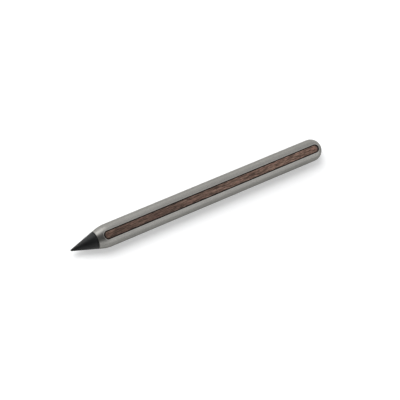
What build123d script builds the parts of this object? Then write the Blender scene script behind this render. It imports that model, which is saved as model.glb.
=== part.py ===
from build123d import *
from math import cos, radians, sin, sqrt, tan
import os

# An inkless metal pencil: a turned metal barrel with a wood strip let into its top, and a writing tip
# that screws out. All sizes are in millimetres and degrees.

# Body. The cone of the tip runs on into the barrel's shoulder, which has come in by SHOULDER_DROP where
# the two meet.
BARREL_DIAMETER = 12.0
TOTAL_LENGTH = 155.0
TAPER_HALF_ANGLE = 16.6
SHOULDER_DROP = 1.45
SHOULDER_BLEND_RADIUS = 18.0
BLEND_SHARE_OF_SHOULDER = 0.9
JOINT_CHAMFER = 0.2

# Bore of the barrel, drilled from the front
BORE_DIAMETER = 6.4
BORE_END_WALL = 14.0
DRILL_POINT_ANGLE = 118.0
BORE_MOUTH_CHAMFER = 0.3

# Pocket for the wood strip. Its rear end is round about the centre of the dome.
POCKET_WIDTH = 4.3
POCKET_DEPTH = 1.4
POCKET_FRONT_MARGIN = 3.3
POCKET_RIM_BEVEL = 0.15

# Wood strip and the film that bonds it
INLAY_SIDE_GAP = 0.3
INLAY_RECESS = 0.08
ADHESIVE_THICKNESS = 0.15
ADHESIVE_MARGIN = 0.25

# Writing tip
POINT_RADIUS = 0.5
TIP_EDGE_CHAMFER = 0.2
JOINT_GAP = 0.1

# Stud of the tip, with the wall that the tip keeps round the end of the stud's hole
SHANK_DIAMETER = 3.0
SHANK_END_WALL = 0.9
SHANK_HOLE_SPARE = 0.3
SHANK_LEAD_CHAMFER = 0.3
COLLAR_DIAMETER = 5.0
COLLAR_THICKNESS = 0.8
COLLAR_CLEARANCE = 0.05

# Thread that holds the tip, right-handed, with its depth and crest as shares of the pitch
THREAD_DIAMETER = 4.0
THREAD_PITCH = 0.7
THREAD_LENGTH = 5.6
THREAD_DEPTH_PER_PITCH = 0.5
THREAD_CREST_PER_PITCH = 0.125
THREAD_FLANK_ANGLE = 30.0
THREAD_FLANK_STEPS = 4
THREAD_CLEARANCE = 0.08
THREAD_SETBACK = 0.8
NECK_UNDERCUT = 0.2

# Threaded insert and ring
INSERT_LENGTH = 9.0
INSERT_CHAMFER = 0.3
O_RING_SECTION = 1.0
O_RING_CLEARANCE = 0.04

# Fit of pressed pieces, on the radius
PRESS_INTERFERENCE = 0.01

# How far the solids that shape a thread pass its own surfaces
THREAD_TRIM_SPARE = 0.05
THREAD_RUN_OUT = 0.25

# Worked out from the sizes above. The pencil is built along X, with the joint of tip and barrel at X = 0
# and the tip on the negative side.
BARREL_RADIUS = BARREL_DIAMETER / 2
JOINT_RADIUS = BARREL_RADIUS - SHOULDER_DROP
TAPER = radians(TAPER_HALF_ANGLE)
TIP_LENGTH = JOINT_RADIUS / tan(TAPER) - POINT_RADIUS * (1 / sin(TAPER) - 1)
BARREL_LENGTH = TOTAL_LENGTH - TIP_LENGTH
DOME_CENTRE = BARREL_LENGTH - BARREL_RADIUS
BLEND_LIMIT = BLEND_SHARE_OF_SHOULDER * SHOULDER_DROP / (sin(TAPER) * tan(TAPER / 2))
BLEND_RADIUS = min(SHOULDER_BLEND_RADIUS, BLEND_LIMIT)
BLEND_END = SHOULDER_DROP / tan(TAPER) + BLEND_RADIUS * tan(TAPER / 2)
BORE_RADIUS = BORE_DIAMETER / 2
POCKET_FLOOR = BARREL_RADIUS - POCKET_DEPTH
POCKET_LENGTH = DOME_CENTRE + POCKET_WIDTH / 2 - POCKET_FRONT_MARGIN
SHANK_RADIUS = SHANK_DIAMETER / 2
SHANK_HOLE_END = -(JOINT_RADIUS - SHANK_RADIUS - SHANK_END_WALL / cos(TAPER)) / tan(TAPER)
COLLAR_FACE = -JOINT_GAP
COLLAR_SEAT = COLLAR_FACE - COLLAR_THICKNESS
INSERT_FRONT = COLLAR_FACE + O_RING_SECTION + 2 * O_RING_CLEARANCE
THREAD_RADIUS = THREAD_DIAMETER / 2
THREAD_DEPTH = THREAD_DEPTH_PER_PITCH * THREAD_PITCH
THREAD_CORE_RADIUS = THREAD_RADIUS - THREAD_DEPTH
THREAD_START = INSERT_FRONT + THREAD_SETBACK
THREAD_END = THREAD_START + THREAD_LENGTH
NECK_RADIUS = THREAD_CORE_RADIUS - NECK_UNDERCUT


def turned(*lines):
    """A solid turned about X from the lines of its half section."""
    return revolve(make_face(Curve() + list(lines)), axis=Axis.X)


def turned_outline(*points):
    """A solid turned about X from the straight-sided half section through the points."""
    return turned(Polyline(*points, close=True))


def outer_form(inset=0.0):
    """The barrel's outer form, taper, blend, cylinder and dome, drawn in by inset."""
    radius = BARREL_RADIUS - inset
    front_radius = JOINT_RADIUS - inset / cos(TAPER)
    corner = (radius - front_radius) / tan(TAPER)
    blend_reach = (BLEND_RADIUS - inset) * tan(TAPER / 2)
    blend_start = (corner - blend_reach * cos(TAPER), radius - blend_reach * sin(TAPER))
    blend_end = (corner + blend_reach, radius)
    dome_top = (DOME_CENTRE, radius)
    dome_end = (DOME_CENTRE + radius, 0)
    return turned(
        Line((0, 0), (0, front_radius)),
        Line((0, front_radius), blend_start),
        TangentArc(blend_start, blend_end, tangent=(cos(TAPER), sin(TAPER))),
        Line(blend_end, dome_top),
        TangentArc(dome_top, dome_end, tangent=(1, 0)),
        Line(dome_end, (0, 0)),
    )


def slot_outline(margin):
    """The pocket's rounded outline, drawn in by margin, with the pocket's front end at X = 0."""
    return Pos(POCKET_LENGTH / 2, 0) * SlotOverall(POCKET_LENGTH - 2 * margin, POCKET_WIDTH - 2 * margin)


def slot_block(margin, bottom):
    """A block with the pocket's outline, drawn in by margin, from bottom up past the barrel."""
    return Pos(POCKET_FRONT_MARGIN, 0, bottom) * extrude(slot_outline(margin), amount=BARREL_DIAMETER)


def flared_block(level):
    """A block that opens out at 45 degrees and has the pocket's outline where it passes the level plane."""
    lower = level.offset(-POCKET_RIM_BEVEL) * slot_outline(POCKET_RIM_BEVEL)
    upper = level.offset(POCKET_DEPTH) * slot_outline(-POCKET_DEPTH)
    return loft([lower, upper], ruled=True)


def shoulder_radius(x):
    """The barrel's radius at x, on the taper, on the blend or on the cylinder."""
    on_taper = JOINT_RADIUS + x * tan(TAPER)
    reach = min(max(BLEND_END - x, 0), BLEND_RADIUS * sin(TAPER))
    on_blend = BARREL_RADIUS - BLEND_RADIUS + sqrt(BLEND_RADIUS ** 2 - reach ** 2)
    return min(on_taper, on_blend)


def rim_bevels():
    """The two cuts that break the pocket's edge: along the sides and the dome, and down the front shoulder."""
    side_height = sqrt(BARREL_RADIUS ** 2 - (POCKET_WIDTH / 2) ** 2) - POCKET_RIM_BEVEL
    front_height = shoulder_radius(POCKET_FRONT_MARGIN) - POCKET_RIM_BEVEL
    front_point = Vector(POCKET_FRONT_MARGIN, 0, front_height)
    slope = Vector(BLEND_END, 0, side_height) - front_point
    side_level = Plane(origin=(POCKET_FRONT_MARGIN, 0, side_height))
    front_level = Plane(origin=front_point, x_dir=slope, z_dir=slope.cross(Vector(0, 1, 0)))
    return flared_block(side_level) + flared_block(front_level)


def bore():
    """The drilled bore, with a chamfered mouth and the drill's pointed end."""
    end = BARREL_LENGTH - BORE_END_WALL
    point = end + BORE_RADIUS / tan(radians(DRILL_POINT_ANGLE / 2))
    mouth_radius = BORE_RADIUS + BORE_MOUTH_CHAMFER
    return turned_outline(
        (0, 0), (0, mouth_radius), (BORE_MOUTH_CHAMFER, BORE_RADIUS), (end, BORE_RADIUS), (point, 0))


def barrel():
    """The metal body, with its pocket, the broken edge round the pocket and the bore."""
    body = outer_form()
    front_edge = body.edges().filter_by(GeomType.CIRCLE).sort_by(Axis.X)[0]
    body = chamfer(front_edge, JOINT_CHAMFER)
    return body - slot_block(0, POCKET_FLOOR) - rim_bevels() - bore()


def wood_inlay():
    """The wood strip, whose top follows the barrel's outer form a little below it."""
    return slot_block(INLAY_SIDE_GAP, POCKET_FLOOR + ADHESIVE_THICKNESS) & outer_form(INLAY_RECESS)


def inlay_adhesive():
    """The bond film on the pocket's floor."""
    block = slot_block(INLAY_SIDE_GAP + ADHESIVE_MARGIN, POCKET_FLOOR)
    film_top = Plane.XY.offset(POCKET_FLOOR + ADHESIVE_THICKNESS)
    return split(block, bisect_by=film_top, keep=Keep.BOTTOM)


def writing_tip():
    """The black cone, with a rounded point and the stepped hole for its stud."""
    back = -JOINT_GAP
    back_radius = JOINT_RADIUS - JOINT_GAP * tan(TAPER)
    point_centre = POINT_RADIUS - TIP_LENGTH
    round_end = (point_centre - POINT_RADIUS * sin(TAPER), POINT_RADIUS * cos(TAPER))
    cone = turned(
        TangentArc((-TIP_LENGTH, 0), round_end, tangent=(0, 1)),
        Line(round_end, (back, back_radius)),
        Line((back, back_radius), (back, 0)),
        Line((back, 0), (-TIP_LENGTH, 0)),
    )
    back_edge = cone.edges().filter_by(GeomType.CIRCLE).sort_by(Axis.X)[-1]
    cone = chamfer(back_edge, TIP_EDGE_CHAMFER)
    seat_radius = COLLAR_DIAMETER / 2 + COLLAR_CLEARANCE
    return cone - turned_outline(
        (0, 0), (0, seat_radius), (COLLAR_SEAT, seat_radius), (COLLAR_SEAT, SHANK_RADIUS),
        (SHANK_HOLE_END, SHANK_RADIUS), (SHANK_HOLE_END, 0))


def thread_section(growth):
    """The thread cut square to its axis, made thicker by growth: a crest, a root and two flanks between."""
    crest_radius = THREAD_RADIUS + growth
    root_radius = THREAD_CORE_RADIUS + growth
    flank_angle = radians(THREAD_FLANK_ANGLE)
    crest_half = THREAD_CREST_PER_PITCH * THREAD_PITCH / 2 + growth * (1 / cos(flank_angle) - tan(flank_angle))
    root_half = crest_half + THREAD_DEPTH * tan(flank_angle)
    crest_turn = 360 * crest_half / THREAD_PITCH
    root_turn = 360 * root_half / THREAD_PITCH

    def flank(side):
        points = []
        for step in range(THREAD_FLANK_STEPS + 1):
            share = step / THREAD_FLANK_STEPS
            turn = radians(side * (crest_turn + share * (root_turn - crest_turn)))
            radius = crest_radius + share * (root_radius - crest_radius)
            points.append((radius * cos(turn), radius * sin(turn)))
        return Spline(*points)

    crest = CenterArc((0, 0), crest_radius, -crest_turn, 2 * crest_turn)
    root = CenterArc((0, 0), root_radius, root_turn, 360 - 2 * root_turn)
    return make_face(Curve() + [crest, flank(1), root, flank(-1)])


def thread_rod(start, end, growth):
    """A threaded rod from start to end on the stud's thread line, made thicker by growth."""
    length = end - start
    degrees_per_length = 360 / THREAD_PITCH
    section = Rot(0, 0, (start - THREAD_START) * degrees_per_length) * thread_section(growth)
    rod = Solid.extrude_linear_with_rotation(
        section.face(), (0, 0, 0), (0, 0, length), length * degrees_per_length)
    return Pos(start, 0, 0) * Rot(0, 90, 0) * rod


def tip_stud():
    """The metal stud: a shank and collar in the tip, a neck for the ring, and the thread."""
    shank_radius = SHANK_RADIUS + PRESS_INTERFERENCE
    shank_end = SHANK_HOLE_END + SHANK_HOLE_SPARE
    collar_radius = COLLAR_DIAMETER / 2
    core = turned_outline(
        (shank_end, 0), (shank_end, shank_radius - SHANK_LEAD_CHAMFER),
        (shank_end + SHANK_LEAD_CHAMFER, shank_radius), (COLLAR_SEAT, shank_radius), (COLLAR_SEAT, collar_radius),
        (COLLAR_FACE, collar_radius), (COLLAR_FACE, NECK_RADIUS), (THREAD_START, NECK_RADIUS), (THREAD_START, 0))
    trim_depth = THREAD_DEPTH + THREAD_TRIM_SPARE
    trim_radius = THREAD_RADIUS + THREAD_TRIM_SPARE
    trim = turned_outline(
        (THREAD_START, 0), (THREAD_START, THREAD_CORE_RADIUS), (THREAD_START + trim_depth, trim_radius),
        (THREAD_END - trim_depth, trim_radius), (THREAD_END, THREAD_CORE_RADIUS), (THREAD_END, 0))
    return core + (thread_rod(THREAD_START, THREAD_END, 0) & trim)


def threaded_insert():
    """The brass bushing in the bore's mouth, with the internal thread and a countersink at both ends."""
    outer = BORE_RADIUS + PRESS_INTERFERENCE
    mouth = THREAD_RADIUS + THREAD_CLEARANCE + THREAD_TRIM_SPARE
    rear = INSERT_FRONT + INSERT_LENGTH
    blank = turned_outline(
        (INSERT_FRONT + mouth, 0), (INSERT_FRONT, mouth), (INSERT_FRONT, outer - INSERT_CHAMFER),
        (INSERT_FRONT + INSERT_CHAMFER, outer), (rear - INSERT_CHAMFER, outer), (rear, outer - INSERT_CHAMFER),
        (rear, mouth), (rear - mouth, 0))
    return blank - thread_rod(INSERT_FRONT - THREAD_RUN_OUT, rear + THREAD_RUN_OUT, THREAD_CLEARANCE)


def tip_o_ring():
    """The rubber ring on the stud's neck, between the collar and the insert."""
    section_radius = O_RING_SECTION / 2
    centre_x = COLLAR_FACE + O_RING_CLEARANCE + section_radius
    centre_radius = NECK_RADIUS + O_RING_CLEARANCE + section_radius
    return revolve(Pos(centre_x, centre_radius) * Circle(section_radius), axis=Axis.X)


PIECES = {
    "barrel": barrel,
    "wood_inlay": wood_inlay,
    "inlay_adhesive": inlay_adhesive,
    "writing_tip": writing_tip,
    "tip_stud": tip_stud,
    "threaded_insert": threaded_insert,
    "tip_o_ring": tip_o_ring,
}

# The part lies on the ground with its wood strip up, and its middle is over the origin.
TO_GROUND = Pos(TIP_LENGTH - TOTAL_LENGTH / 2, 0, BARREL_RADIUS)

os.makedirs("parts", exist_ok=True)
for name, make in PIECES.items():
    piece = TO_GROUND * make()
    export_step(piece, f"parts/{name}.step")
    print(name, round(piece.volume, 2))
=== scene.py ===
# %% [markdown]
# An inkless metal pencil, dressed for its picture. The solids come from the CAD model and stay where they
# are: a turned metal barrel, a wood strip let into its top, a black tip that screws out, and the stud,
# bushing and ring behind that tip. Blender adds what a solid can't hold, the finish of each piece. Loading
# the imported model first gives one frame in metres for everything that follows.

# %% Load the solids
from math import cos, radians, sin

import bpy
from mathutils import Matrix, Vector


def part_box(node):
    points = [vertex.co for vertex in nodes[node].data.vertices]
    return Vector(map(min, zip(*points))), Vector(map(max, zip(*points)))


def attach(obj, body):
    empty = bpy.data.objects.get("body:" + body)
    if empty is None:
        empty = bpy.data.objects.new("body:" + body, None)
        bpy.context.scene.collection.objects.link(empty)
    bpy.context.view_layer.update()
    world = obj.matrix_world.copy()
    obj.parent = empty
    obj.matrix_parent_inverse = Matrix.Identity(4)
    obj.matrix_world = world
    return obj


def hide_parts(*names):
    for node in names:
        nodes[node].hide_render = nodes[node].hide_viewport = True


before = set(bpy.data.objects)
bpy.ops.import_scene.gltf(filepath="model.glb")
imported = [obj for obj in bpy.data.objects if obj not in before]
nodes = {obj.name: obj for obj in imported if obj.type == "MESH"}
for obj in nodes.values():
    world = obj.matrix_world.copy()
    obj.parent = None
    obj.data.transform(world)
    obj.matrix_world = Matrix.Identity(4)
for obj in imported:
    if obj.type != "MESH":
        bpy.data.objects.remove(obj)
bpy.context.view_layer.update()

print("solids:", ", ".join(sorted(nodes)))

# %% [markdown]
# The camera stands high on the tip's side and is turned about its own line of sight, so that the pencil
# climbs to the right. A long lens keeps the barrel's two edges almost parallel. The place, the aim and the
# turn come from fitting the CAD outline to the picture, so they are written down as numbers and turned into
# a matrix here. Blender's camera looks along its own -Z, with X to the right and Y up.

# %% Camera
IMAGE_PIXELS = 400
SENSOR_MM = 36.0
FOCAL_PIXELS = 1494.33
CLIP_START = 0.01
CAMERA_PLACE = Vector((-0.339661, 0.0, 0.701216))
CAMERA_AIM = Vector((-0.00096, -0.001618, 0.006))
CAMERA_TURN = 0.3963
PENCIL_LINE = Vector((1.0, 0.0, 0.0))


def camera_matrix(place, aim, turn):
    back = (place - aim).normalized()
    along = (PENCIL_LINE - back * PENCIL_LINE.dot(back)).normalized()
    across = back.cross(along)
    right = cos(turn) * along - sin(turn) * across
    up = back.cross(right)
    axes = Matrix((right, up, back)).transposed().to_4x4()
    axes.translation = place
    return axes


camera_data = bpy.data.cameras.new("camera")
camera_data.sensor_width = SENSOR_MM
camera_data.lens = FOCAL_PIXELS / IMAGE_PIXELS * SENSOR_MM
camera_data.clip_start = CLIP_START
camera = bpy.data.objects.new("camera", camera_data)
camera.matrix_world = camera_matrix(CAMERA_PLACE, CAMERA_AIM, CAMERA_TURN)
bpy.context.scene.collection.objects.link(camera)
bpy.context.scene.camera = camera
print("lens in mm:", round(camera_data.lens, 1))

# %% [markdown]
# Node trees are long to write by hand, so a few small helpers come first. One adds a node and sets its
# values, one gives a socket a value or a link, and the others stand for one kind of node each. A socket may
# be given as a number or as another node's output, which keeps the trees below readable.

# %% Helpers for values
def put(tree, kind, **settings):
    node = tree.nodes.new(kind)
    for name, value in settings.items():
        setattr(node, name, value)
    return node


def feed(tree, socket, value):
    """Give a socket a plain value, or join it to another node's output."""
    if isinstance(value, bpy.types.NodeSocket):
        tree.links.new(value, socket)
    else:
        socket.default_value = value


def math(tree, operation, *values, clamp=False):
    node = put(tree, "ShaderNodeMath", operation=operation, use_clamp=clamp)
    for socket, value in zip(node.inputs, values):
        feed(tree, socket, value)
    return node.outputs[0]


def sum_of_squares(tree, first, second):
    return math(tree, "MULTIPLY_ADD", first, first, math(tree, "MULTIPLY", second, second))


def hypotenuse(tree, first, second):
    return math(tree, "SQRT", sum_of_squares(tree, first, second))


def span(tree, value, low, high, to_low=0.0, to_high=1.0, smooth=True):
    """Map a value from one range to another, held inside it."""
    node = put(tree, "ShaderNodeMapRange", interpolation_type="SMOOTHSTEP" if smooth else "LINEAR")
    feed(tree, node.inputs["Value"], value)
    for name, number in (("From Min", low), ("From Max", high), ("To Min", to_low), ("To Max", to_high)):
        feed(tree, node.inputs[name], number)
    return node.outputs["Result"]


print("value helpers ready")


# %% Helpers for places, colours and patterns
def axes_of(tree, vector):
    """The X, Y and Z of a vector."""
    node = put(tree, "ShaderNodeSeparateXYZ")
    feed(tree, node.inputs[0], vector)
    return node.outputs["X"], node.outputs["Y"], node.outputs["Z"]


def vector_of(tree, x=0.0, y=0.0, z=0.0):
    """A vector from its three parts."""
    node = put(tree, "ShaderNodeCombineXYZ")
    for socket, value in zip(node.inputs, (x, y, z)):
        feed(tree, socket, value)
    return node.outputs[0]


def vector_math(tree, operation, *vectors, scale=None):
    node = put(tree, "ShaderNodeVectorMath", operation=operation)
    for socket, vector in zip(node.inputs, vectors):
        feed(tree, socket, vector)
    if scale is not None:
        feed(tree, node.inputs["Scale"], scale)
    return node.outputs["Value" if operation == "DOT_PRODUCT" else "Vector"]


def blend(tree, share, first, second, how="MIX"):
    """Mix two colours."""
    node = put(tree, "ShaderNodeMix", data_type="RGBA", blend_type=how)
    feed(tree, node.inputs["Factor"], share)
    feed(tree, node.inputs[6], first)
    feed(tree, node.inputs[7], second)
    return node.outputs[2]


def grey(value):
    return (value, value, value, 1.0)


def noise(tree, vector, scale, detail=2.0, roughness=0.5, distortion=0.0):
    node = put(tree, "ShaderNodeTexNoise")
    feed(tree, node.inputs["Vector"], vector)
    feed(tree, node.inputs["Scale"], scale)
    feed(tree, node.inputs["Detail"], detail)
    feed(tree, node.inputs["Roughness"], roughness)
    feed(tree, node.inputs["Distortion"], distortion)
    return node.outputs["Fac"]


def stretched(tree, vector, scale):
    """The same place with each axis scaled by its own factor, so that a pattern grows along a line."""
    node = put(tree, "ShaderNodeMapping")
    feed(tree, node.inputs["Vector"], vector)
    node.inputs["Scale"].default_value = scale
    return node.outputs["Vector"]


print("pattern helpers ready")

# %% [markdown]
# Some effects are used by several finishes, such as the skin that blasting leaves. Each of them is a node
# group: built once, with named sockets, and placed in every material with that material's own values.

# %% Helpers for shared groups
FLOAT, VECTOR = "NodeSocketFloat", "NodeSocketVector"


def new_group(name, inputs, outputs):
    """An empty shader group. inputs is {name: (kind, value)} and outputs {name: kind}."""
    tree = bpy.data.node_groups.new(name, "ShaderNodeTree")
    for socket, (kind, value) in inputs.items():
        made = tree.interface.new_socket(socket, in_out="INPUT", socket_type=kind)
        if value is not None:
            made.default_value = value
    for socket, kind in outputs.items():
        tree.interface.new_socket(socket, in_out="OUTPUT", socket_type=kind)
    return tree, put(tree, "NodeGroupInput").outputs, put(tree, "NodeGroupOutput").inputs


def use_group(tree, group, **values):
    """Place a group and hand back its outputs. Values are named as its sockets, with _ for a space."""
    node = put(tree, "ShaderNodeGroup", node_tree=group)
    for name, value in values.items():
        feed(tree, node.inputs[name.replace("_", " ")], value)
    return node.outputs


print("group helpers ready")

# %% [markdown]
# Bead blasting leaves a metal skin of tiny overlapping dents, with no direction, and slow patches where the
# blast was a little stronger. Two noises do that: a fine one for the dents and a slow one for the patches.
# The black tip and the rubber ring have the same kind of skin at other sizes, so it is one shared group.

# %% Shared group: blasted skin
DENT_DETAIL, DENT_ROUGHNESS = 3.0, 0.6
PATCH_DETAIL, PATCH_ROUGHNESS = 4.0, 0.55
DENT_SPAN = (0.25, 0.75)
PATCH_SPAN = (0.3, 0.7)

blasted_skin, given, result = new_group(
    "blasted_skin",
    {"Vector": (VECTOR, None), "Dents per Metre": (FLOAT, 4500.0), "Patches per Metre": (FLOAT, 90.0)},
    {"Dents": FLOAT, "Patches": FLOAT},
)
tree = blasted_skin
dents = noise(tree, given["Vector"], given["Dents per Metre"], DENT_DETAIL, DENT_ROUGHNESS)
patches = noise(tree, given["Vector"], given["Patches per Metre"], PATCH_DETAIL, PATCH_ROUGHNESS)
feed(tree, result["Dents"], span(tree, dents, *DENT_SPAN))
feed(tree, result["Patches"], span(tree, patches, *PATCH_SPAN))
print("group:", blasted_skin.name)

# %% [markdown]
# Turned pieces carry fine rings where the tool passed. The rings lie square to the pencil's axis, so the
# pattern reads little more than X, with a little waviness. The tip, the steel stud and the brass bushing
# share it.

# %% Shared group: turning rings
RING_STRETCH = (1.0, 0.02, 0.02)
RING_DETAIL, RING_ROUGHNESS = 2.0, 0.65
RING_SPAN = (0.3, 0.7)

turning_rings, given, result = new_group(
    "turning_rings",
    {"Vector": (VECTOR, None), "Rings per Metre": (FLOAT, 5000.0)},
    {"Rings": FLOAT},
)
tree = turning_rings
flat_place = stretched(tree, given["Vector"], RING_STRETCH)
rings = noise(tree, flat_place, given["Rings per Metre"], RING_DETAIL, RING_ROUGHNESS)
feed(tree, result["Rings"], span(tree, rings, *RING_SPAN))
print("group:", turning_rings.name)

# %% [markdown]
# The barrel and the tip are turned, so the way that their skin faces is known at every point: straight out
# from the axis on the cylinder, tilted forward on the blend and the taper, and out from the dome's centre
# at the rear. A mesh knows it only at its corners, and metal shows the difference in its reflections. This
# group works it out from the place. Where a face looks another way, such as a bevel, the mesh's own normal
# stays. The numbers are the CAD sizes in metres.

# %% Shared group: turned skin
AXIS_HEIGHT = 0.006
BLEND_END = -0.055998
BLEND_RADIUS = 0.018
TAPER_SINE = sin(radians(16.6))
DOME_CENTRE = 0.0715
DOME_RADIUS = 0.006
SAME_WAY = cos(radians(12.0))
TO_WORLD = {"vector_type": "NORMAL", "convert_from": "OBJECT", "convert_to": "WORLD"}

turned_skin, given, result = new_group("turned_skin", {"Vector": (VECTOR, None)}, {"Normal": VECTOR})
tree = turned_skin
x, y, z = axes_of(tree, given["Vector"])
before = math(tree, "MAXIMUM", math(tree, "SUBTRACT", BLEND_END, x), 0.0)
forward = math(tree, "MINIMUM", math(tree, "DIVIDE", before, BLEND_RADIUS), TAPER_SINE)
behind = math(tree, "MAXIMUM", math(tree, "SUBTRACT", x, DOME_CENTRE), 0.0)
tilt = math(tree, "SUBTRACT", math(tree, "DIVIDE", behind, DOME_RADIUS, clamp=True), forward)
outward = math(tree, "SQRT", math(tree, "SUBTRACT", 1.0, math(tree, "MULTIPLY", tilt, tilt)))
from_axis = vector_of(tree, y=y, z=math(tree, "SUBTRACT", z, AXIS_HEIGHT))
sideways = vector_math(tree, "SCALE", vector_math(tree, "NORMALIZE", from_axis), scale=outward)
true_way = put(tree, "ShaderNodeVectorTransform", **TO_WORLD)
feed(tree, true_way.inputs[0], vector_math(tree, "ADD", sideways, vector_of(tree, x=tilt)))
mesh_way = put(tree, "ShaderNodeNewGeometry").outputs
likeness = vector_math(tree, "DOT_PRODUCT", true_way.outputs[0], mesh_way["True Normal"])
chosen = put(tree, "ShaderNodeMix", data_type="VECTOR")
feed(tree, chosen.inputs[0], math(tree, "GREATER_THAN", likeness, SAME_WAY))
feed(tree, chosen.inputs[4], mesh_way["Normal"])
feed(tree, chosen.inputs[5], true_way.outputs[0])
feed(tree, result["Normal"], chosen.outputs[1])
print("group:", turned_skin.name)

# %% [markdown]
# Every finish is one Principled shader whose colour, roughness and normal come from such patterns, read in
# Object coordinates. All pieces keep their origin at the world's, so the patterns sit still on them. The
# helper makes the empty finish and has one call for each thing that the cells below feed. Relief on a
# turned piece starts from the turned skin's normal.

# %% Helpers for finishes
class Finish:
    """A material with its Principled shader, its place socket and a way to add relief."""

    def __init__(self, name, metallic=0.0, specular=0.5):
        self.material = bpy.data.materials.new(name)
        self.material.use_nodes = True
        self.tree = self.material.node_tree
        self.tree.nodes.clear()
        self.shader = put(self.tree, "ShaderNodeBsdfPrincipled")
        self.shader.inputs["Metallic"].default_value = metallic
        self.shader.inputs["Specular IOR Level"].default_value = specular
        output = put(self.tree, "ShaderNodeOutputMaterial")
        feed(self.tree, output.inputs["Surface"], self.shader.outputs["BSDF"])
        self.place = put(self.tree, "ShaderNodeTexCoord").outputs["Object"]

    def colour(self, value):
        feed(self.tree, self.shader.inputs["Base Color"], value)

    def roughness(self, value):
        feed(self.tree, self.shader.inputs["Roughness"], value)

    def relief(self, height, strength, distance, turned=False):
        bump = put(self.tree, "ShaderNodeBump")
        bump.inputs["Strength"].default_value = strength
        bump.inputs["Distance"].default_value = distance
        feed(self.tree, bump.inputs["Height"], height)
        if turned:
            way = use_group(self.tree, turned_skin, Vector=self.place)
            feed(self.tree, bump.inputs["Normal"], way["Normal"])
        feed(self.tree, self.shader.inputs["Normal"], bump.outputs["Normal"])


def dress(node_name, finish):
    """Put a finish in the material slot of a CAD piece."""
    nodes[node_name].data.materials[0] = finish.material
    print(node_name, "wears", finish.material.name)


print("finish helpers ready")

# %% [markdown]
# The barrel is a warm grey metal with a satin, bead-blasted skin: it mirrors the room as soft bands and not
# as sharp lights. A metallic shader gives those bands. Three places differ from the skin. Inside the slot
# for the wood, and a hair past its edge, the metal is painted dark: painted shade of the gap round the
# strip, which draws the strip's dark outline. Round the slot the milled rim gets a painted highlight, most
# of all at the front end. The bevel at the joint with the tip is painted dark, as painted shade of the
# joint's gap. The
# first step finds these places: it works out how far a point lies from the slot's middle line and from the
# axis.

# %% Barrel: the slot, its rim and the joint
SLOT_GAP = 0.0003
SLOT_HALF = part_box("wood_inlay")[1].y + SLOT_GAP
SLOT_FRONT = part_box("wood_inlay")[0].x - SLOT_GAP
SLOT_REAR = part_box("wood_inlay")[1].x + SLOT_GAP
LINE_WIDTH = 0.00016
FRONT_RIM_WIDTH = 0.00022
FRONT_RIM_REACH = 0.0016
SIDE_RIM_WIDTH = 0.0005
SIDE_RIM_SHARE = 0.24
JOINT_WIDTH = 0.00015
JOINT_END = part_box("barrel")[0].x + JOINT_WIDTH
JOINT_RADIUS = 0.00434
BLUR = 0.00002

satin_metal = Finish("satin_metal_blasted", metallic=1.0)
tree = satin_metal.tree
x, y, z = axes_of(tree, satin_metal.place)
before = math(tree, "SUBTRACT", SLOT_FRONT + SLOT_HALF, x)
after = math(tree, "SUBTRACT", x, SLOT_REAR - SLOT_HALF)
past_end = math(tree, "MAXIMUM", math(tree, "MAXIMUM", before, after), 0.0)
from_line = hypotenuse(tree, past_end, y)
upper_half = math(tree, "GREATER_THAN", z, AXIS_HEIGHT)
at_front = span(tree, x, SLOT_FRONT, SLOT_FRONT + FRONT_RIM_REACH, 1.0, 0.0)


def side_to_front(side, front):
    """A value that changes from the slot's sides to its front end."""
    return span(tree, at_front, 0.0, 1.0, side, front, smooth=False)


def up_to(value, limit):
    """A mask that is 1 up to a limit and 0 past it, with a little blur."""
    return span(tree, math(tree, "SUBTRACT", value, limit), -BLUR, BLUR, 1.0, 0.0)


# Painted shade of the gap round the strip, reaching a hair past the slot's edge along its sides
slot_edge = side_to_front(SLOT_HALF + LINE_WIDTH, SLOT_HALF)
in_slot_shade = math(tree, "MULTIPLY", upper_half, up_to(from_line, slot_edge))
# A painted highlight on the slot's rim, strongest at the front end
rim_end = side_to_front(SLOT_HALF + SIDE_RIM_WIDTH, SLOT_HALF + FRONT_RIM_WIDTH)
rim_highlight_share = math(tree, "MULTIPLY", upper_half, side_to_front(SIDE_RIM_SHARE, 1.0))
on_rim_highlight = math(tree, "MULTIPLY", rim_highlight_share, up_to(from_line, rim_end))
# The joint's bevel is painted dark, as painted shade of the gap between barrel and tip
from_axis = hypotenuse(tree, math(tree, "SUBTRACT", z, AXIS_HEIGHT), y)
past_bevel = math(tree, "GREATER_THAN", from_axis, JOINT_RADIUS)
in_joint_shade = math(tree, "MULTIPLY", past_bevel, span(tree, x, JOINT_END - BLUR, JOINT_END + BLUR, 1.0, 0.0))
print("slot from", round(1000 * SLOT_FRONT, 2), "to", round(1000 * SLOT_REAR, 2), "mm")

# %% [markdown]
# With the places known, the metal's own pattern is laid on. The patches shift its grey by a few percent,
# specks of about half a millimetre lighten and darken it, and the dents move both the roughness and the
# normal. The painted shade in the slot's gap and at the joint is no metal, so Metallic goes to zero there.

# %% Barrel: satin metal
METAL_GREY = (0.312, 0.306, 0.288, 1.0)
METAL_SHADE = (0.290, 0.285, 0.269, 1.0)
METAL_EDGE_TINT = (0.60, 0.60, 0.58, 1.0)
METAL_ROUGHNESS = (0.27, 0.35)
METAL_SPECK = 0.11
SPECKS_PER_METRE = 1800.0
METAL_RELIEF = (0.5, 0.00002)
# The rim's pale colour is a painted highlight
RIM_PAINTED_HIGHLIGHT = (0.80, 0.79, 0.76, 1.0)
RIM_ROUGHNESS = 0.50
# Painted shade: the dark in the gap round the strip and at the joint with the tip
GAP_PAINTED_SHADE = (0.018, 0.013, 0.010, 1.0)
GAP_SHADE_ROUGHNESS = 0.6
JOINT_PAINTED_SHADE = grey(0.008)

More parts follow.
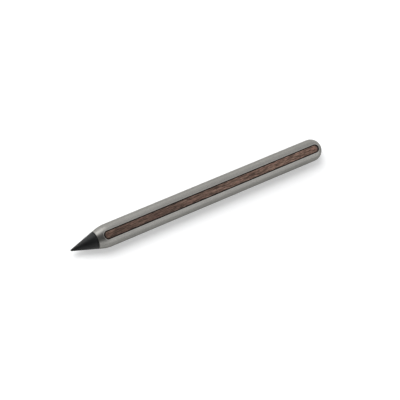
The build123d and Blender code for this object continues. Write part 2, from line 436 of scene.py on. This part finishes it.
satin_metal.shader.inputs["Specular Tint"].default_value = METAL_EDGE_TINT
skin = use_group(tree, blasted_skin, Vector=satin_metal.place)
speckled = use_group(tree, blasted_skin, Vector=satin_metal.place, Dents_per_Metre=SPECKS_PER_METRE)
speck = span(tree, speckled["Dents"], 0.0, 1.0, 1.0 - METAL_SPECK, 1.0 + METAL_SPECK)
tone = blend(tree, skin["Patches"], METAL_SHADE, METAL_GREY)
tone = vector_math(tree, "SCALE", tone, scale=speck)
# A painted highlight on the rim, then painted shade in the slot's gap and at the joint
tone = blend(tree, on_rim_highlight, tone, RIM_PAINTED_HIGHLIGHT)
tone = blend(tree, in_slot_shade, tone, GAP_PAINTED_SHADE)
satin_metal.colour(blend(tree, in_joint_shade, tone, JOINT_PAINTED_SHADE))
rough = span(tree, skin["Dents"], 0.0, 1.0, *METAL_ROUGHNESS)
rough = span(tree, on_rim_highlight, 0.0, 1.0, rough, RIM_ROUGHNESS)
in_painted_shade = math(tree, "MAXIMUM", in_slot_shade, in_joint_shade)
satin_metal.roughness(span(tree, in_painted_shade, 0.0, 1.0, rough, GAP_SHADE_ROUGHNESS))
feed(tree, satin_metal.shader.inputs["Metallic"], math(tree, "SUBTRACT", 1.0, in_painted_shade))
satin_metal.relief(skin["Dents"], *METAL_RELIEF, turned=True)
dress("barrel", satin_metal)

# %% [markdown]
# The tip is a dark writing alloy, matte and almost black, turned on a lathe. It is no bright metal, so the
# shader stays non-metallic with a broad gloss. Faint rings and a fine skin break up the black.

# %% Writing tip: matte black alloy
TIP_BLACK = (0.0044, 0.0047, 0.0049, 1.0)
TIP_GREY = (0.0082, 0.0086, 0.0090, 1.0)
TIP_SPECULAR = 0.28
TIP_ROUGHNESS = (0.34, 0.46)
TIP_SKIN = {"Dents_per_Metre": 5200.0, "Patches_per_Metre": 160.0}
TIP_RINGS_PER_METRE = 6500.0
TIP_RING_SHARE = 0.5
TIP_RELIEF = (0.25, 0.00001)

tip_alloy = Finish("tip_alloy_matte_black", specular=TIP_SPECULAR)
tree = tip_alloy.tree
skin = use_group(tree, blasted_skin, Vector=tip_alloy.place, **TIP_SKIN)
rings = use_group(tree, turning_rings, Vector=tip_alloy.place, Rings_per_Metre=TIP_RINGS_PER_METRE)
tip_alloy.colour(blend(tree, skin["Patches"], TIP_BLACK, TIP_GREY))
dents = math(tree, "MULTIPLY", skin["Dents"], 1.0 - TIP_RING_SHARE)
rings_and_dents = math(tree, "MULTIPLY_ADD", rings["Rings"], TIP_RING_SHARE, dents)
tip_alloy.roughness(span(tree, rings_and_dents, 0.0, 1.0, *TIP_ROUGHNESS))
tip_alloy.relief(rings_and_dents, *TIP_RELIEF, turned=True)
dress("writing_tip", tip_alloy)

# %% [markdown]
# Behind the tip are three pieces that show only when it is screwed out: a steel stud, a brass bushing and a
# rubber ring. The two metals share one recipe with their own colours. A dark film under the wood strip
# bonds it, and a glimpse of it lies at the bottom of the gap around the strip.

# %% Stud and bushing: turned metal
STEEL_SHADE, STEEL = (0.50, 0.50, 0.49, 1.0), (0.62, 0.62, 0.61, 1.0)
BRASS_SHADE, BRASS = (0.60, 0.42, 0.17, 1.0), (0.74, 0.54, 0.25, 1.0)
TURNED_METALS = {
    "tip_stud": ("stud_steel_turned", STEEL_SHADE, STEEL, (0.24, 0.36)),
    "threaded_insert": ("insert_brass_turned", BRASS_SHADE, BRASS, (0.26, 0.40)),
}
TURNED_RINGS_PER_METRE = 9000.0
TURNED_PATCHES_PER_METRE = 500.0
TURNED_RELIEF = (0.2, 0.000008)

for node_name, (name, shade, colour, roughness) in TURNED_METALS.items():
    finish = Finish(name, metallic=1.0)
    tree, place = finish.tree, finish.place
    rings = use_group(tree, turning_rings, Vector=place, Rings_per_Metre=TURNED_RINGS_PER_METRE)
    skin = use_group(tree, blasted_skin, Vector=place, Patches_per_Metre=TURNED_PATCHES_PER_METRE)
    finish.colour(blend(tree, skin["Patches"], shade, colour))
    finish.roughness(span(tree, rings["Rings"], 0.0, 1.0, *roughness))
    finish.relief(rings["Rings"], *TURNED_RELIEF)
    dress(node_name, finish)

# %% Ring and film: rubber and resin
FILM_SHADE, FILM = (0.012, 0.008, 0.006, 1.0), (0.030, 0.020, 0.014, 1.0)
SOFT_FINISHES = {
    "tip_o_ring": ("ring_rubber_black", grey(0.010), grey(0.022), (0.55, 0.72)),
    "inlay_adhesive": ("bond_film_dark", FILM_SHADE, FILM, (0.40, 0.60)),
}
SOFT_SKIN = {"Dents_per_Metre": 6000.0, "Patches_per_Metre": 700.0}
SOFT_RELIEF = (0.3, 0.00001)

for node_name, (name, shade, colour, roughness) in SOFT_FINISHES.items():
    finish = Finish(name)
    skin = use_group(finish.tree, blasted_skin, Vector=finish.place, **SOFT_SKIN)
    finish.colour(blend(finish.tree, skin["Patches"], shade, colour))
    finish.roughness(span(finish.tree, skin["Dents"], 0.0, 1.0, *roughness))
    finish.relief(skin["Dents"], *SOFT_RELIEF)
    dress(node_name, finish)

# %% [markdown]
# The strip is dark brown wood. Its fibres run along the pencil, so each pattern is a noise that is stretched
# along X: slow bands for the growth of the tree, reddish streaks, fine fibres, short flecks and open pores.
# They are laid one over the other, and the strip gets paler to the rear.

# %% Wood strip: grain
# Waves per metre along, across and up, then detail, roughness and distortion
GRAIN = {
    "bands": ((14.0, 900.0, 300.0), 3.0, 0.5, 0.4),
    "streaks": ((60.0, 1500.0, 500.0), 2.0, 0.5, 0.0),
    "fibres": ((240.0, 3600.0, 1800.0), 4.0, 0.6, 0.0),
    "flecks": ((420.0, 1500.0, 750.0), 2.0, 0.6, 0.0),
    "pores": ((600.0, 5200.0, 2600.0), 1.0, 0.5, 0.0),
}
WOOD_DARK = (0.038, 0.022, 0.016, 1.0)
WOOD_MIDDLE = (0.116, 0.071, 0.052, 1.0)
WOOD_PALE = (0.186, 0.121, 0.092, 1.0)
WOOD_RED = (0.176, 0.094, 0.075, 1.0)
WOOD_PORE = (0.035, 0.022, 0.016, 1.0)
WOOD_SPECULAR = 0.35
# Noise from and to, and what it gives at either end where that isn't 0 and 1
BAND_SPAN = (0.34, 0.66)
STREAK_SPAN = (0.46, 0.66, 0.0, 0.7)
FIBRE_SPAN = (0.60, 0.40)
FLECK_SPAN = (0.35, 0.65, 0.79, 1.21)
PORE_SPAN = (0.60, 0.70)
PORE_WEIGHT = 0.85
# Place along the pencil from and to, and the brightness at either end
WOOD_FADE = (-0.022, 0.055, 0.83, 1.46)

inlay_wood = Finish("inlay_wood_dark_brown", specular=WOOD_SPECULAR)
tree = inlay_wood.tree
grain = {}
for name, (waves, *character) in GRAIN.items():
    grain[name] = noise(tree, stretched(tree, inlay_wood.place, waves), 1.0, *character)
pore_mask = span(tree, grain["pores"], *PORE_SPAN)
tone = blend(tree, span(tree, grain["bands"], *BAND_SPAN), WOOD_MIDDLE, WOOD_PALE)
tone = blend(tree, span(tree, grain["streaks"], *STREAK_SPAN), tone, WOOD_RED)
tone = blend(tree, span(tree, grain["fibres"], *FIBRE_SPAN), tone, WOOD_DARK)
tone = blend(tree, math(tree, "MULTIPLY", pore_mask, PORE_WEIGHT), tone, WOOD_PORE)
x, _, _ = axes_of(tree, inlay_wood.place)
fade = span(tree, x, *WOOD_FADE, smooth=False)
brightness = math(tree, "MULTIPLY", fade, span(tree, grain["flecks"], *FLECK_SPAN))
grain_tone = vector_math(tree, "SCALE", tone, scale=brightness)
print("grain:", ", ".join(GRAIN))

# %% [markdown]
# The cut edge of the strip is darker than its face: partly scorch from cutting, partly painted shade of the
# gap round the strip. The band is wider at both ends, most of all at the rear, where it is painted shade of
# the slot's end wall. How far a point lies from the cut edge is stored on the mesh by the nodes that build
# the strip, further below, and the finish reads it here as an attribute. The strip is drawn a hair narrower
# and shorter than the solid, so that the dark gap round it shows as wide as it is on the real pencil.

# %% Wood strip: dark edge and relief
EDGE_ATTRIBUTE = "from_edge"
FRONT_INSET, REAR_INSET, SIDE_INSET = 0.00025, 0.0002, 0.00005
STRIP_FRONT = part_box("wood_inlay")[0].x + FRONT_INSET
STRIP_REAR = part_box("wood_inlay")[1].x - REAR_INSET
STRIP_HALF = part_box("wood_inlay")[1].y - SIDE_INSET
# Partly scorch of the cut, partly painted shade of the gap and of the slot's end wall
EDGE_SCORCH_AND_SHADE = (0.014, 0.009, 0.007, 1.0)
EDGE_STRENGTH = 0.95
EDGE_PLATEAU = 0.35
EDGE_SIDE, EDGE_FRONT, EDGE_REAR = 0.0001, 0.0003, 0.0012
FRONT_RUN, REAR_RUN = 0.0012, 0.0016
WOOD_ROUGHNESS = (0.3, 0.7, 0.66, 0.50)
WOOD_RELIEF = (0.4, 0.00003)
PORE_DEPTH = 0.6

from_edge = put(tree, "ShaderNodeAttribute", attribute_name=EDGE_ATTRIBUTE).outputs["Fac"]
front_end = span(tree, x, STRIP_FRONT + FRONT_RUN, STRIP_FRONT)
rear_end = span(tree, x, STRIP_REAR - REAR_RUN, STRIP_REAR)
reach = math(tree, "MULTIPLY_ADD", rear_end, EDGE_REAR, EDGE_SIDE)
reach = math(tree, "MULTIPLY_ADD", front_end, EDGE_FRONT, reach)
plateau = math(tree, "MULTIPLY", reach, EDGE_PLATEAU)
# Scorch and painted shade along the cut edge
scorch_and_shade = span(tree, from_edge, plateau, reach, EDGE_STRENGTH, 0.0)
inlay_wood.colour(blend(tree, scorch_and_shade, grain_tone, EDGE_SCORCH_AND_SHADE))
inlay_wood.roughness(span(tree, grain["fibres"], *WOOD_ROUGHNESS))
pore_depth = math(tree, "MULTIPLY", pore_mask, PORE_DEPTH)
inlay_wood.relief(math(tree, "SUBTRACT", grain["fibres"], pore_depth), *WOOD_RELIEF)
print("finish:", inlay_wood.material.name)

# %% [markdown]
# The strip's shape follows a rule: a slot outline, and a top that runs with the barrel's own round, a hair
# below it, down over the shoulder in front and the dome behind. That suits Geometry Nodes. The tree has a
# named input for every size, and the numbers are the CAD sizes in metres.

# %% Wood strip: sizes
TOP_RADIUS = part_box("wood_inlay")[1].z - AXIS_HEIGHT
STRIP_SIZES = {
    "Front": STRIP_FRONT,
    "Rear": STRIP_REAR,
    "Half Width": STRIP_HALF,
    "Bottom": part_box("wood_inlay")[0].z,
    "Axis Height": AXIS_HEIGHT,
    "Top Radius": TOP_RADIUS,
    "Blend Radius": TOP_RADIUS + BLEND_RADIUS - DOME_RADIUS,
    "Blend End": BLEND_END,
    "Dome Centre": DOME_CENTRE,
    "Edge Round": 0.00012,
    "Grain Depth": 0.00002,
    "Grain Along": 160.0,
    "Grain Across": 6000.0,
    "End Share": 0.06,
}
STRIP_COUNTS = {"Rows": 361, "Columns": 49, "Seed": 5}
MERGE_DISTANCE = 1e-6


def empty_strip_tree():
    """A geometry tree with the strip's named inputs, and those inputs as sockets."""
    tree = bpy.data.node_groups.new("wood_strip", "GeometryNodeTree")
    for name, value in STRIP_SIZES.items():
        tree.interface.new_socket(name, in_out="INPUT", socket_type=FLOAT).default_value = value
    for name, value in STRIP_COUNTS.items():
        made = tree.interface.new_socket(name, in_out="INPUT", socket_type="NodeSocketInt")
        made.default_value = value
    tree.interface.new_socket("Finish", in_out="INPUT", socket_type="NodeSocketMaterial")
    tree.interface.new_socket("Geometry", in_out="OUTPUT", socket_type="NodeSocketGeometry")
    return tree, put(tree, "NodeGroupInput").outputs


def place_of_point(tree):
    return axes_of(tree, put(tree, "GeometryNodeInputPosition").outputs[0])


def merged(tree, geometry):
    node = put(tree, "GeometryNodeMergeByDistance")
    node.inputs["Distance"].default_value = MERGE_DISTANCE
    feed(tree, node.inputs["Geometry"], geometry)
    return node.outputs["Geometry"]


print("strip from", round(1000 * STRIP_FRONT, 2), "to", round(1000 * STRIP_REAR, 2), "mm")

# %% [markdown]
# A flat grid is bent to the slot outline first. The grid's X becomes the way along the slot: its first and
# last few percent turn through the round ends, where the rows crowd together, and the rest runs straight.
# The grid's Y becomes the way across, with the columns crowded at the edges for their rounding.

# %% Wood strip: outline
QUARTER_TURN = radians(90.0)
GRID_HALF = 0.5


def flat_strip(tree, size):
    """The strip's underside, as a flat mesh with the slot's outline."""
    grid = put(tree, "GeometryNodeMeshGrid")
    grid.inputs["Size X"].default_value = 2.0 * GRID_HALF
    grid.inputs["Size Y"].default_value = 2.0 * GRID_HALF
    feed(tree, grid.inputs["Vertices X"], size["Rows"])
    feed(tree, grid.inputs["Vertices Y"], size["Columns"])
    grid_x, grid_y, _ = place_of_point(tree)
    share, half = size["End Share"], size["Half Width"]

    way = math(tree, "ADD", grid_x, GRID_HALF)
    straight = math(tree, "SUBTRACT", 1.0, math(tree, "MULTIPLY", share, 2.0))
    front_turn = math(tree, "MULTIPLY", math(tree, "DIVIDE", way, share, clamp=True), QUARTER_TURN)
    middle = math(tree, "DIVIDE", math(tree, "SUBTRACT", way, share), straight, clamp=True)
    rear_way = math(tree, "SUBTRACT", way, math(tree, "SUBTRACT", 1.0, share))
    rear_turn = math(tree, "MULTIPLY", math(tree, "DIVIDE", rear_way, share, clamp=True), QUARTER_TURN)
    length = math(tree, "SUBTRACT", size["Rear"], size["Front"])
    straight_length = math(tree, "SUBTRACT", length, math(tree, "MULTIPLY", half, 2.0))
    run = math(tree, "MULTIPLY", straight_length, middle)
    front_cos = math(tree, "MULTIPLY", half, math(tree, "COSINE", front_turn))
    rear_sin = math(tree, "MULTIPLY", half, math(tree, "SINE", rear_turn))
    x = math(tree, "ADD", size["Front"], math(tree, "SUBTRACT", half, front_cos))
    x = math(tree, "ADD", math(tree, "ADD", x, run), rear_sin)

    width = math(tree, "MULTIPLY", math(tree, "SINE", front_turn), math(tree, "COSINE", rear_turn))
    cross = math(tree, "SINE", math(tree, "MULTIPLY", grid_y, 2.0 * QUARTER_TURN))
    y = math(tree, "MULTIPLY", math(tree, "MULTIPLY", half, width), cross)

    bent = put(tree, "GeometryNodeSetPosition")
    feed(tree, bent.inputs["Geometry"], grid.outputs["Mesh"])
    feed(tree, bent.inputs["Position"], vector_of(tree, x, y, size["Bottom"]))
    return merged(tree, bent.outputs["Geometry"])


print("outline ready")

# %% [markdown]
# The top is worked out point by point: the barrel's radius at that place along the pencil, less the drop of
# a softened edge and of the grain. The distance from the edge is a result of its own, because the finish
# above needs it too.

# %% Wood strip: top
def distance_from_edge(tree, size, x, y):
    half = size["Half Width"]
    before = math(tree, "SUBTRACT", math(tree, "ADD", size["Front"], half), x)
    after = math(tree, "SUBTRACT", x, math(tree, "SUBTRACT", size["Rear"], half))
    past_end = math(tree, "MAXIMUM", math(tree, "MAXIMUM", before, after), 0.0)
    from_line = hypotenuse(tree, past_end, y)
    return math(tree, "MAXIMUM", math(tree, "SUBTRACT", half, from_line), 0.0)


def leg(tree, longest, other_squared):
    """A side of a right triangle, from its longest side and the square of the other."""
    left = math(tree, "SUBTRACT", math(tree, "MULTIPLY", longest, longest), other_squared)
    return math(tree, "SQRT", math(tree, "MAXIMUM", left, 0.0))


def top_height(tree, size, x, y, from_edge):
    """The height of the strip's top at x and y."""
    soft, bend = size["Edge Round"], size["Blend Radius"]
    short = math(tree, "MAXIMUM", math(tree, "SUBTRACT", soft, from_edge), 0.0)
    drop = math(tree, "SUBTRACT", soft, leg(tree, soft, math(tree, "MULTIPLY", short, short)))
    shoulder = math(tree, "MAXIMUM", math(tree, "SUBTRACT", size["Blend End"], x), 0.0)
    arc = leg(tree, bend, math(tree, "MULTIPLY", shoulder, shoulder))
    radius = math(tree, "ADD", math(tree, "SUBTRACT", size["Top Radius"], bend), arc)
    dome = math(tree, "MAXIMUM", math(tree, "SUBTRACT", x, size["Dome Centre"]), 0.0)
    rise = leg(tree, radius, sum_of_squares(tree, dome, y))
    grain_x = math(tree, "MULTIPLY", x, size["Grain Along"])
    grain_y = math(tree, "MULTIPLY", y, size["Grain Across"])
    grain = noise(tree, vector_of(tree, grain_x, grain_y, size["Seed"]), 1.0)
    drop = math(tree, "ADD", drop, math(tree, "MULTIPLY", grain, size["Grain Depth"]))
    return math(tree, "SUBTRACT", math(tree, "ADD", size["Axis Height"], rise), drop)


print("top ready")

# %% [markdown]
# Last, the flat faces are pushed up and become the top, and the first flat faces, turned over, close the
# strip below. The tree stores the distance from the edge, realizes and sets the material. It runs on an
# empty object, and its result is kept as a plain mesh, which is what the model's other users can read.

# %% Wood strip: shape
PUSH_UP = 0.001
SHARP_ANGLE = radians(50.0)


def strip_tree():
    tree, size = empty_strip_tree()
    flat = flat_strip(tree, size)
    pushed = put(tree, "GeometryNodeExtrudeMesh", mode="FACES")
    pushed.inputs["Individual"].default_value = False
    pushed.inputs["Offset Scale"].default_value = PUSH_UP
    feed(tree, pushed.inputs["Mesh"], flat)
    x, y, _ = place_of_point(tree)
    from_edge = distance_from_edge(tree, size, x, y)
    top = vector_of(tree, x, y, top_height(tree, size, x, y, from_edge))
    upper = put(tree, "GeometryNodeSetPosition")
    feed(tree, upper.inputs["Geometry"], pushed.outputs["Mesh"])
    feed(tree, upper.inputs["Selection"], pushed.outputs["Top"])
    feed(tree, upper.inputs["Position"], top)
    lower = put(tree, "GeometryNodeFlipFaces")
    feed(tree, lower.inputs["Mesh"], flat)
    both = put(tree, "GeometryNodeJoinGeometry")
    feed(tree, both.inputs["Geometry"], lower.outputs["Mesh"])
    feed(tree, both.inputs["Geometry"], upper.outputs["Geometry"])
    marked = put(tree, "GeometryNodeStoreNamedAttribute", data_type="FLOAT", domain="POINT")
    marked.inputs["Name"].default_value = EDGE_ATTRIBUTE
    feed(tree, marked.inputs["Geometry"], merged(tree, both.outputs["Geometry"]))
    feed(tree, marked.inputs["Value"], from_edge)
    real = put(tree, "GeometryNodeRealizeInstances")
    feed(tree, real.inputs["Geometry"], marked.outputs["Geometry"])
    dressed = put(tree, "GeometryNodeSetMaterial")
    feed(tree, dressed.inputs["Geometry"], real.outputs["Geometry"])
    feed(tree, dressed.inputs["Material"], size["Finish"])
    feed(tree, put(tree, "NodeGroupOutput").inputs["Geometry"], dressed.outputs["Geometry"])
    return tree


def mesh_from_nodes(name, tree, values):
    """Run a tree on an empty object, and keep its result as a plain mesh object."""
    maker = bpy.data.objects.new(name + "_maker", bpy.data.meshes.new(name + "_maker"))
    bpy.context.scene.collection.objects.link(maker)
    modifier = maker.modifiers.new("shape", "NODES")
    modifier.node_group = tree
    for item in tree.interface.items_tree:
        if item.in_out == "INPUT" and item.name in values:
            modifier[item.identifier] = values[item.name]
    depsgraph = bpy.context.evaluated_depsgraph_get()
    mesh = bpy.data.meshes.new_from_object(maker.evaluated_get(depsgraph), depsgraph=depsgraph)
    maker.modifiers.remove(modifier)
    bpy.data.objects.remove(maker)
    mesh.name = name
    made = bpy.data.objects.new(name, mesh)
    bpy.context.scene.collection.objects.link(made)
    return made


strip_values = {**STRIP_SIZES, **STRIP_COUNTS, "Finish": inlay_wood.material}
strip = mesh_from_nodes("wood_strip", strip_tree(), strip_values)
strip.data.shade_smooth()
strip.data.set_sharp_from_angle(angle=SHARP_ANGLE)
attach(strip, "pencil_body")
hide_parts("wood_inlay")
print("wood strip:", len(strip.data.polygons), "faces, box in mm:",
      [[round(1000 * f(v.co[i] for v in strip.data.vertices), 3) for i in range(3)] for f in (min, max)])

# %% [markdown]
# The pencil lies on a plain white sheet, a matte white that catches the shadow. A photograph like this is
# exposed until the sheet goes to pure white, so a little glow is added for what the camera sees of it, and
# the light on the pencil itself stays plain. The metal mirrors the sheet too, a little greyer, and with the
# glow on the lamp's side only, because on the other side the sheet lies in the pencil's own shade.

# %% Floor
FLOOR_SIZE = 8.0
FLOOR_WHITE = (0.815, 0.822, 0.828, 1.0)
FLOOR_MIRRORED = grey(0.72)
FLOOR_GLOW = 0.27
LAMP_SIDE_GLOW = 0.295
MIRRORED_GLOW = 0.36
LAMP_SIDE_EDGE = 0.006

floor_finish = bpy.data.materials.new("floor_white")
floor_finish.use_nodes = True
tree = floor_finish.node_tree
tree.nodes.clear()
sheet = put(tree, "ShaderNodeBsdfDiffuse")
seen = put(tree, "ShaderNodeLightPath").outputs
feed(tree, sheet.inputs["Color"], blend(tree, seen["Is Camera Ray"], FLOOR_MIRRORED, FLOOR_WHITE))
mirrored = math(tree, "ADD", seen["Is Glossy Ray"], seen["Is Transmission Ray"], clamp=True)
_, y, _ = axes_of(tree, put(tree, "ShaderNodeTexCoord").outputs["Object"])
# Painted light: the glow is a little stronger on the lamp's side, both as seen and as mirrored, leaving the
# shade side darker
lamp_side = span(tree, y, -LAMP_SIDE_EDGE, LAMP_SIDE_EDGE)
seen_glow = span(tree, lamp_side, 0.0, 1.0, FLOOR_GLOW, LAMP_SIDE_GLOW, smooth=False)
seen_glow = math(tree, "MULTIPLY", seen["Is Camera Ray"], seen_glow)
mirrored_glow = math(tree, "MULTIPLY", lamp_side, MIRRORED_GLOW)
glow = put(tree, "ShaderNodeEmission")
glow.inputs["Color"].default_value = grey(1.0)
feed(tree, glow.inputs["Strength"], math(tree, "MULTIPLY_ADD", mirrored, mirrored_glow, seen_glow))
both = put(tree, "ShaderNodeAddShader")
feed(tree, both.inputs[0], sheet.outputs[0])
feed(tree, both.inputs[1], glow.outputs[0])
feed(tree, put(tree, "ShaderNodeOutputMaterial").inputs["Surface"], both.outputs[0])

edge = FLOOR_SIZE / 2
corners = [(-edge, -edge, 0), (edge, -edge, 0), (edge, edge, 0), (-edge, edge, 0)]
floor_mesh = bpy.data.meshes.new("floor")
floor_mesh.from_pydata(corners, [], [(0, 1, 2, 3)])
floor_mesh.materials.append(floor_finish)
floor = bpy.data.objects.new("floor", floor_mesh)
bpy.context.scene.collection.objects.link(floor)
print("floor:", FLOOR_SIZE, "m square")

# %% [markdown]
# Satin metal looks like what stands around it. A studio tent is bright low down, all round, and dim
# overhead where the camera looks in, which gives the barrel pale flanks and a darker crown on the shoulder.
# The world is that tent: a ramp by height, with a bright panel low on the far side, a weaker one on the near
# side, and a darker part on the camera's side.

# %% Studio tent
# Height as the Z of the direction, and how bright the tent is there
TENT = ((0.0, 0.64), (0.42, 0.94), (0.60, 0.74), (0.8, 0.26), (1.0, 0.12))
# Direction, added brightness, and the angles in degrees between which a panel fades out
PANELS = {
    "far side": ((-0.32, 0.94, -0.08), 1.6, 10.0, 50.0),
    "near side": ((0.55, -0.78, 0.30), 0.34, 12.0, 38.0),
    "camera side": ((-0.93, 0.0, 0.36), -0.45, 15.0, 44.0),
}

world = bpy.data.worlds.new("studio_tent")
world.use_nodes = True
tree = world.node_tree
tree.nodes.clear()
outward = put(tree, "ShaderNodeTexCoord").outputs["Generated"]
_, _, z = axes_of(tree, outward)
ramp = put(tree, "ShaderNodeValToRGB")
elements = ramp.color_ramp.elements
while len(elements) < len(TENT):
    elements.new(0.5)
for element, (height, value) in zip(elements, TENT):
    element.position = height
    element.color = grey(value)
feed(tree, ramp.inputs["Fac"], z)
around = ramp.outputs["Color"]
for toward, brightness, inner, outer in PANELS.values():
    facing = vector_math(tree, "DOT_PRODUCT", outward, Vector(toward).normalized())
    panel = span(tree, facing, cos(radians(outer)), cos(radians(inner)), 0.0, brightness)
    around = blend(tree, 1.0, around, panel, "ADD")
sky = put(tree, "ShaderNodeBackground")
feed(tree, sky.inputs["Color"], around)
feed(tree, put(tree, "ShaderNodeOutputWorld").inputs["Surface"], sky.outputs[0])
bpy.context.scene.world = world
print("tent with panels:", ", ".join(PANELS))

# %% [markdown]
# One soft lamp at the far left casts the shadow. It is kept out of the reflections, because the metal of the
# real pencil mirrors the tent and shows no lamp.

# %% Key lamp
LAMP_TOWARD = Vector((-0.34, 0.465, 0.82)).normalized()
LAMP_AWAY = 0.9
LAMP_SIZE = 0.48
LAMP_WATTS = 5.9

lamp = bpy.data.lights.new("key_lamp", "AREA")
lamp.shape = "DISK"
lamp.size = LAMP_SIZE
lamp.energy = LAMP_WATTS
light = bpy.data.objects.new("key_lamp", lamp)
light.visible_glossy = False
light.location = LAMP_TOWARD * LAMP_AWAY
light.rotation_euler = LAMP_TOWARD.to_track_quat("Z", "Y").to_euler()
bpy.context.scene.collection.objects.link(light)
bpy.context.scene.view_settings.view_transform = "Standard"
print("key lamp at", [round(v, 2) for v in light.location])
